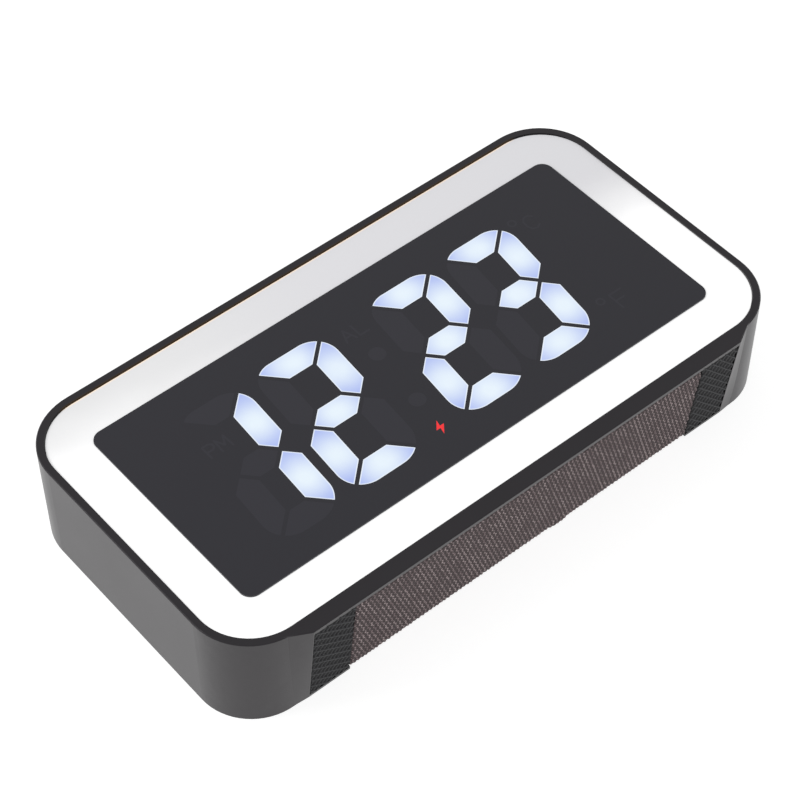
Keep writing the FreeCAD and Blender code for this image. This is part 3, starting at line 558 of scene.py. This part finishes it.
# ---- foot pads ----
def knurl_depth(x, z, side):
    """How deep the pad's face lies below its long ridges, from 0 to 1."""
    along = (z + KNURL_SLOPE[side] * x) / KNURL_Z
    across = (x - z / CROSS_SLOPE) / CROSS_X[side]
    depth = min(ridge_depth(along, *LONG_RIDGE, 0.0), ridge_depth(across, *SHORT_RIDGE, CROSS_LOW))
    return depth * depth * (3 - 2 * depth)


def ridge_depth(u, flat, fall, low):
    """The depth beside ridges at every whole number of u, whose own tops lie at the depth low."""
    from_ridge = abs(u - round(u))
    return low + (1 - low) * max(0.0, min(1.0, (from_ridge - flat) / fall))


def knurled_pad(side, mat):
    """A rubber pad whose face is cut by two families of slanting ridges."""
    node = "foot_pad_" + side
    low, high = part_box(node)
    columns = round((high.x - low.x) / PAD_STEP) + 1
    rows = round((high.z - low.z) / PAD_STEP) + 1
    verts, pits = [], []
    for j in range(-1, rows + 1):
        for i in range(-1, columns + 1):
            x = low.x + (high.x - low.x) * min(max(i, 0), columns - 1) / (columns - 1)
            z = low.z + (high.z - low.z) * min(max(j, 0), rows - 1) / (rows - 1)
            edge = i < 0 or j < 0 or i == columns or j == rows
            pit = 1.0 if edge else knurl_depth(x, z, side)
            verts.append((x, foot_y(z) + (PAD_THICK if edge else pit * KNURL_DEEP), z))
            pits.append(pit)
    wide, tall = columns + 2, rows + 2
    faces = grid_faces(wide, tall)
    left_edge = [j * wide for j in range(tall)]
    top_edge = [(tall - 1) * wide + i for i in range(1, wide)]
    right_edge = [j * wide + wide - 1 for j in range(tall - 2, -1, -1)]
    low_edge = list(range(wide - 2, 0, -1))
    faces.append(left_edge + top_edge + right_edge + low_edge)
    pad = new_piece("knurled_pad_" + side, verts, faces, "clock", mat)
    store(pad.data, "pit", pits)
    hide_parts(node)


# ---- speaker cloth ----
RANDOM = random.Random(7)
TONES = {}


def thread_at(x, v):
    """Height and tone of the weave at a point: x across the threads, v along them."""
    s = (x - v * LEAN) / THREAD
    column = math.floor(s)
    t = v / FLOAT + column * STITCH_SHIFT
    stitch = math.floor(t)
    key = (column, stitch)
    if key not in TONES:
        TONES[key] = (RANDOM.uniform(0.2, 0.95), RANDOM.uniform(0.84, 1.0))
    tone, girth = TONES[key]
    bend = THREAD_SWAY * math.sin(2 * math.pi * 1.5 * t + 2.1 * column)
    across = (s - column - 0.5 - bend) / (THREAD_HALF * girth)
    ends = 1 - (2 * abs(t - stitch - 0.5)) ** 5
    beads = 0.72 + 0.28 * math.cos(2 * math.pi * 3 * t + 1.3 * column)
    height = math.sqrt(max(0.0, 1 - across ** 2)) * (0.45 + 0.55 * ends) * beads
    return height, tone * (0.75 + 0.25 * beads)


class StripSection:
    """The foot cloth's section in (y, z): down the leaning foot, round the heel, and flat under the back."""

    def __init__(self):
        lean = math.atan2(-FOOT_NORMAL.z, -FOOT_NORMAL.y)
        self.top = Vector((foot_y(CLOTH_HIGH.z) + SUNK, CLOTH_HIGH.z))
        self.down = Vector((math.sin(lean), -math.cos(lean)))
        self.out = Vector((-math.cos(lean), -math.sin(lean)))
        self.run = (self.top.y - CLOTH_BACK_Z - HEEL_R * (1 - math.sin(lean))) / math.cos(lean)
        self.bend = HEEL_R * (math.pi / 2 - lean)
        self.centre = self.top + self.down * self.run - self.out * HEEL_R
        self.length = self.run + self.bend + SEAM_Y - self.centre.x

    def at(self, v):
        """The point at a length v from the lip, and its outward normal."""
        if v <= self.run:
            return self.top + self.down * v, self.out
        if v <= self.run + self.bend:
            a = (v - self.run) / HEEL_R
            way = self.out * math.cos(a) + self.down * math.sin(a)
            return self.centre + way * HEEL_R, way
        return self.centre + Vector((v - self.run - self.bend, -HEEL_R)), Vector((0.0, -1.0))


def tuck(x, v, heel):
    """The pinched fold at the heel of the strip, from 0 to 1."""
    return math.exp(-((x - TUCK_X) / TUCK_WIDE) ** 4) * math.exp(-((v - heel) / TUCK_TALL) ** 2)


def foot_cloth(mat):
    """The woven strip in the foot, rolled in under the lip, round the heel and in at the seam."""
    section = StripSection()
    total = section.length
    columns = round(2 * CLOTH_X / CLOTH_STEP) + 1
    rows = round(total / CLOTH_STEP) + 1
    verts, tops, tones = [], [], []
    for j in range(rows):
        v = total * j / (rows - 1)
        rolled = max(0.0, 1 - min(v, total - v) / TURN_IN)
        base, out = section.at(v)
        for i in range(columns):
            x = -CLOTH_X + 2 * CLOTH_X * i / (columns - 1)
            height, tone = thread_at(x, v)
            side = max(0.0, 1 - (CLOTH_X - abs(x)) / SIDE_WIDE)
            fold = tuck(x, v, section.run)
            swell = SWELL * math.sin(x / SWELL_LONG + 1.1) * math.sin(math.pi * min(1.0, v / section.run))
            lift = height * THREAD_HIGH * (1 - 0.75 * rolled) + swell * (1 - rolled)
            lift -= ROLL_DEEP * rolled ** 2 + SIDE_DEEP * side ** 2 + CORNER_DEEP * corner_cut(x, v)
            point = base + out * lift
            verts.append((x, point.x - TUCK_OUT * fold, max(point.y - TUCK_DOWN * fold, CLEAR)))
            # Painted shade: the rolled edges get a lower, even top value, so they are painted darker.
            tops.append(height * (1 - 0.9 * rolled) + 0.45 * rolled)
            tones.append(tone)
    faces = [face[::-1] for face in grid_faces(columns, rows)]
    cloth = new_piece("foot_cloth", verts, faces, "clock", mat)
    store(cloth.data, "top", tops)
    store(cloth.data, "tone", tones)
    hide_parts("rear_fabric")


def corner_cut(x, v):
    """How far the cloth turns in at its rounded front right corner."""
    dx = x - (CLOTH_X - CORNER_R)
    dv = CORNER_R - v
    if dx <= 0 or dv <= 0:
        return 0.0
    return max(0.0, min(1.0, (math.hypot(dx, dv) - CORNER_R) / CORNER_WIDE))


def back_outline_distance(x, y):
    """How far a point lies inside the rounded outline of the rear cloth; negative outside it."""
    half_x, half_y = (COVER_HIGH.x - COVER_LOW.x) / 2, (COVER_HIGH.y - SEAM_Y) / 2
    across = abs(x - (COVER_HIGH.x + COVER_LOW.x) / 2) - half_x + BACK_CORNER_R
    up = abs(y - (COVER_HIGH.y + SEAM_Y) / 2) - half_y + BACK_CORNER_R
    outside = math.hypot(max(across, 0.0), max(up, 0.0))
    return BACK_CORNER_R - outside - min(max(across, up), 0.0)


def rear_cloth(mat):
    """The woven panel over the back, tucked in round its rounded outline."""
    low_x, high_x = COVER_LOW.x, COVER_HIGH.x
    high_y = COVER_HIGH.y
    columns = round((high_x - low_x) / BACK_STEP) + 1
    rows = round((high_y - SEAM_Y) / BACK_STEP) + 1
    weave_from = StripSection().length - SEAM_Y
    bm = bmesh.new()
    top_layer = bm.verts.layers.float.new("top")
    tone_layer = bm.verts.layers.float.new("tone")
    grid = {}
    for j in range(rows):
        y = SEAM_Y + (high_y - SEAM_Y) * j / (rows - 1)
        for i in range(columns):
            x = low_x + (high_x - low_x) * i / (columns - 1)
            inside = back_outline_distance(x, y)
            if inside < -BACK_STEP * 1.2:
                continue
            px, py = x, y
            if inside < 0:
                px, py = pulled_in(x, y, inside)
            height, tone = thread_at(px, py + weave_from)
            roll = max(0.0, 1 - max(inside, 0.0) / TURN_IN)
            z = CLOTH_BACK_Z - height * THREAD_HIGH + BACK_ROLL * roll ** 2
            v = bm.verts.new((px, py, z))
            # Painted shade: the top value falls towards the rolled outline, so the tucked edge is painted
            # darker.
            v[top_layer] = height * (1 - 0.5 * roll)
            v[tone_layer] = tone
            grid[i, j] = v
    for i, j in list(grid):
        corners = [grid.get(p) for p in ((i, j), (i, j + 1), (i + 1, j + 1), (i + 1, j))]
        if all(corners):
            bm.faces.new(corners)
    loose = [v for v in bm.verts if not v.link_faces]
    bmesh.ops.delete(bm, geom=loose, context="VERTS")
    mesh = bpy.data.meshes.new("rear_cloth")
    bm.to_mesh(mesh)
    bm.free()
    mesh.polygons.foreach_set("use_smooth", [True] * len(mesh.polygons))
    mesh.materials.append(mat)
    ob = bpy.data.objects.new("rear_cloth", mesh)
    bpy.context.scene.collection.objects.link(ob)
    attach(ob, "clock")


def pulled_in(x, y, inside):
    """Moves a point that lies just outside the outline onto it."""
    tiny = 0.01 * MM
    gx = (back_outline_distance(x + tiny, y) - inside) / tiny
    gy = (back_outline_distance(x, y + tiny) - inside) / tiny
    return x - gx * inside, y - gy * inside


# ---- keys ----
def key_signs(mat):
    """A small raised sign on each key: less, back, play, forward, more."""
    shapes = {
        "key_1": [bar(0, 0, 2.4, 0.5)],
        "key_2": [arrow(-0.1, -1), bar(-1.15, 0, 0.4, 2.0)],
        "key_3": [arrow(-0.4, 1), bar(1.0, 0, 0.4, 2.0), bar(1.8, 0, 0.4, 2.0)],
        "key_4": [arrow(0.1, 1), bar(1.15, 0, 0.4, 2.0)],
        "key_5": [bar(0, 0, 2.4, 0.5), bar(0, 0, 0.5, 2.4)],
    }
    for key, outlines in shapes.items():
        low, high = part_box(key)
        middle = (low + high) / 2
        verts, faces = [], []
        for outline in outlines:
            base = len(verts)
            count = len(outline)
            for y in (high.y - SIGN_DEEP, high.y + SIGN_HIGH):
                verts += [(middle.x - u * MM, y, middle.z + w * MM) for u, w in outline]
            top = base + count
            faces.append([top + k for k in range(count)])
            for k in range(count):
                after = (k + 1) % count
                faces.append([base + k, base + after, top + after, top + k])
        new_piece("sign_" + key, verts, faces, key, mat, smooth=False)


def bar(cx, cy, wide, tall):
    """A rectangle's outline, in millimetres."""
    x, y = wide / 2, tall / 2
    return [(cx - x, cy - y), (cx + x, cy - y), (cx + x, cy + y), (cx - x, cy + y)]


def arrow(cx, way):
    """A triangle's outline, in millimetres, that points right where way is 1 and left where it is -1."""
    points = [(cx - 0.8 * way, -1.0), (cx + 0.8 * way, 0.0), (cx - 0.8 * way, 1.0)]
    return points if way > 0 else points[::-1]


# ---- everything ----
def paint_nodes():
    """A material for every CAD node that shows, by its slot in the record."""
    by_slot = {
        "case": case_plastic(),
        "ring": ring_diffuser(),
        "window": smoked("window_acrylic", (0.0222, 0.0213, 0.0292), (0.0242, 0.0232, 0.0314), 0.34),
        "unlit": smoked("unlit_acrylic", (0.0300, 0.0289, 0.0392), (0.0322, 0.0309, 0.0414), 0.34),
        "lit": lit_face(),
        "sign": charge_red(),
        "black_plastic": moulded("black_moulding", (0.010, 0.010, 0.011), (0.016, 0.016, 0.017)),
        "white_plastic": moulded("white_moulding", (0.80, 0.80, 0.78), (0.86, 0.86, 0.84), 0.4),
        "led": led_package(),
        "board": circuit_board(),
        "chip": moulded("chip_epoxy", (0.008, 0.008, 0.009), (0.014, 0.014, 0.015), 0.45),
        "steel": brushed("pressed_steel", (0.52, 0.52, 0.53), (0.62, 0.62, 0.63)),
        "magnet": brushed("ferrite", (0.045, 0.045, 0.05), (0.07, 0.07, 0.075), 0.5, 0.5),
        "cone": speaker_pulp(),
        "surround": moulded("surround_rubber", (0.008, 0.008, 0.008), (0.013, 0.013, 0.013), 0.55),
        "foam": foam(),
        "capacitor": brushed("capacitor_sleeve", (0.02, 0.025, 0.06), (0.03, 0.035, 0.08), 0.3, 0.2),
        "ribbon": flat_cable(),
        "wire": insulated_wire(),
        "pouch": foil_pouch(),
        "screw": brushed("black_zinc", (0.10, 0.10, 0.105), (0.16, 0.16, 0.165), 0.35),
        "key": soft_touch(),
        "rubber": pad_rubber(),
        "fabric": speaker_cloth(),
    }
    slots = {s["node"]: s["material_slot"] for s in frame["record"]["subparts"]}
    for name, ob in NODES.items():
        ob.data.materials.clear()
        ob.data.materials.append(by_slot[slots[name]])
    return by_slot


camera()
studio()
MATERIALS = paint_nodes()
lit_segments(MATERIALS["lit"])
knurled_pad("left", MATERIALS["rubber"])
knurled_pad("right", MATERIALS["rubber"])
foot_cloth(MATERIALS["fabric"])
rear_cloth(MATERIALS["fabric"])
key_signs(MATERIALS["unlit"])
